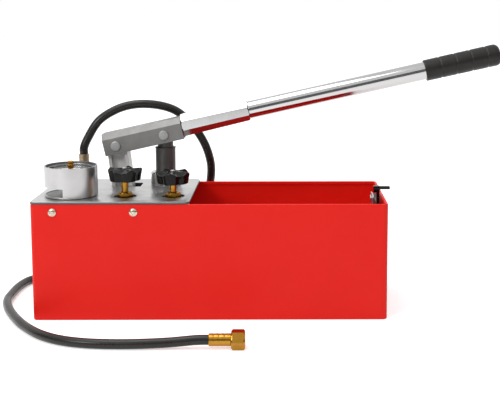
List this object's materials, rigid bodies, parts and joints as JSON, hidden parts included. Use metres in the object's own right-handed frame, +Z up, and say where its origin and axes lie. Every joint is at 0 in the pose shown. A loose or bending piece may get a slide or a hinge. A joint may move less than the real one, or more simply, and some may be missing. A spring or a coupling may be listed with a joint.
{
  "type": "hydrostatic test pump",
  "caption": "hand lever test pump on an open red water tank, with a gauge in a guard ring, star knob shut-off valves and a hose that ends in a union nut",
  "frame": {"origin": "centre of the tank's underside, on the floor it stands on", "axes": "+X towards the grip end of the lever, +Y to the back of the tank, +Z up"},
  "size_m": [0.6938, 0.3167, 0.3562],
  "materials": {
    "red_paint": "glossy red enamel on folded sheet steel",
    "galvanised": "bright zinc plated sheet, lightly reflective",
    "cast_metal": "matt grey light alloy casting",
    "grey_paint": "satin mid grey paint on a casting",
    "chrome": "bright plated",
    "polished_steel": "smooth turned steel",
    "dark_steel": "dark phosphated steel with fine turning lines",
    "brass": "plain machined brass",
    "yellow_zinc": "yellow zinc plated, slightly iridescent",
    "black_plastic": "glossy black moulding",
    "black_rubber": "satin black rubber",
    "seal_rubber": "matt black sealing rubber",
    "dial_white": "matt white dial face",
    "pointer_black": "black enamel",
    "pointer_red": "red enamel",
    "clear_glass": "clear window"
  },
  "bodies": {
    "base": {"tank": "red_paint", "cover_plate": "galvanised", "plate_screw_front_left": "yellow_zinc", "plate_screw_front_right": "yellow_zinc", "plate_screw_rear_left": "yellow_zinc", "plate_screw_rear_right": "yellow_zinc", "valve_block": "cast_metal", "delivery_valve_cap": "brass", "pump_cylinder": "polished_steel", "gland_packing": "seal_rubber", "cylinder_gland": "chrome", "suction_valve": "brass", "suction_strainer": "galvanised", "left_gland_nut": "brass", "right_gland_nut": "brass", "gauge_guard": "galvanised", "gauge_stem": "brass", "gauge_case": "polished_steel", "gauge_movement": "brass", "gauge_dial": "dial_white", "gauge_glass": "clear_glass", "gauge_bezel": "chrome", "outlet_fitting": "brass", "outlet_ferrule": "yellow_zinc", "hose": "black_rubber", "hose_end_ferrule": "yellow_zinc", "link_bracket": "dark_steel", "link_foot_pin": "polished_steel", "link_foot_clip": "dark_steel", "catch_bracket": "galvanised", "catch_pin": "polished_steel", "catch_screw_front": "yellow_zinc", "catch_screw_rear": "yellow_zinc"},
    "plunger": {"plunger": "dark_steel"},
    "lever": {"lever_head": "grey_paint", "link_top_pin": "polished_steel", "link_top_clip": "dark_steel", "plunger_pin": "polished_steel", "plunger_clip": "dark_steel", "lever_socket": "chrome", "lever_tube": "chrome", "grip": "black_rubber"},
    "link": {"link": "cast_metal"},
    "left_disc": {"left_valve_disc": "seal_rubber"},
    "left_valve": {"left_spindle": "brass", "left_star_knob": "black_plastic", "left_knob_screw": "chrome"},
    "right_disc": {"right_valve_disc": "seal_rubber"},
    "right_valve": {"right_spindle": "brass", "right_star_knob": "black_plastic", "right_knob_screw": "chrome"},
    "pointer": {"gauge_pointer": "pointer_black"},
    "drag_pointer": {"drag_pointer": "pointer_red", "drag_knob": "brass"},
    "suction_ball": {"suction_ball": "polished_steel"},
    "union_nut": {"union_nut": "brass"},
    "catch_hook": {"catch_hook": "black_plastic"}
  },
  "joints": [
    {"name": "plunger_slide", "type": "slide", "parent": "base", "child": "plunger", "axis": [0, 0, 1], "range_m": [-0.0231, 0.0351]},
    {"name": "lever_swing", "type": "hinge", "parent": "plunger", "child": "lever", "pos_m": [-0.0705, 0.039, 0.2303], "axis": [0, -1, 0], "range_deg": [-21.2, 32.3]},
    {"name": "link_swing", "type": "hinge", "parent": "lever", "child": "link", "pos_m": [-0.13734, 0.039, 0.21529], "axis": [0, -1, 0], "range_deg": [-40.6, 26.7]},
    {"name": "left_valve_lift", "type": "slide", "parent": "base", "child": "left_disc", "axis": [0, 0, 1], "range_m": [-0.00375, 0.00125]},
    {"name": "left_valve_turn", "type": "hinge", "parent": "left_disc", "child": "left_valve", "pos_m": [-0.115, -0.044, 0.18], "axis": [0, 0, 1], "range_deg": [-552, 192]},
    {"name": "right_valve_lift", "type": "slide", "parent": "base", "child": "right_disc", "axis": [0, 0, 1], "range_m": [0, 0.005]},
    {"name": "right_valve_turn", "type": "hinge", "parent": "right_disc", "child": "right_valve", "pos_m": [-0.051, -0.044, 0.18], "axis": [0, 0, 1], "range_deg": [-8, 732]},
    {"name": "pointer_turn", "type": "hinge", "parent": "base", "child": "pointer", "pos_m": [-0.1875, -0.038, 0.188], "axis": [0, 0, -1], "range_deg": [0, 270]},
    {"name": "drag_pointer_turn", "type": "hinge", "parent": "base", "child": "drag_pointer", "pos_m": [-0.1875, -0.038, 0.19], "axis": [0, 0, -1], "range_deg": [-13, 257]},
    {"name": "ball_lift", "type": "slide", "parent": "base", "child": "suction_ball", "axis": [0, 0, 1], "range_m": [0, 0.003]},
    {"name": "union_nut_turn", "type": "hinge", "parent": "base", "child": "union_nut", "pos_m": [0.04, -0.191, 0.011], "axis": [1, 0, 0], "continuous": true},
    {"name": "catch_swing", "type": "hinge", "parent": "base", "child": "catch_hook", "pos_m": [0.2236, 0.02, 0.141], "axis": [-1, 0, 0], "range_deg": [0, 90]}
  ],
  "couplings": [
    {"joint": "plunger_slide", "follows": "lever_swing", "m_per_rad": 0.062},
    {"joint": "link_swing", "follows": "lever_swing", "ratio": -1.25},
    {"joint": "left_valve_turn", "follows": "left_valve_lift", "rad_per_m": 2513.3},
    {"joint": "right_valve_turn", "follows": "right_valve_lift", "rad_per_m": 2513.3}
  ]
}
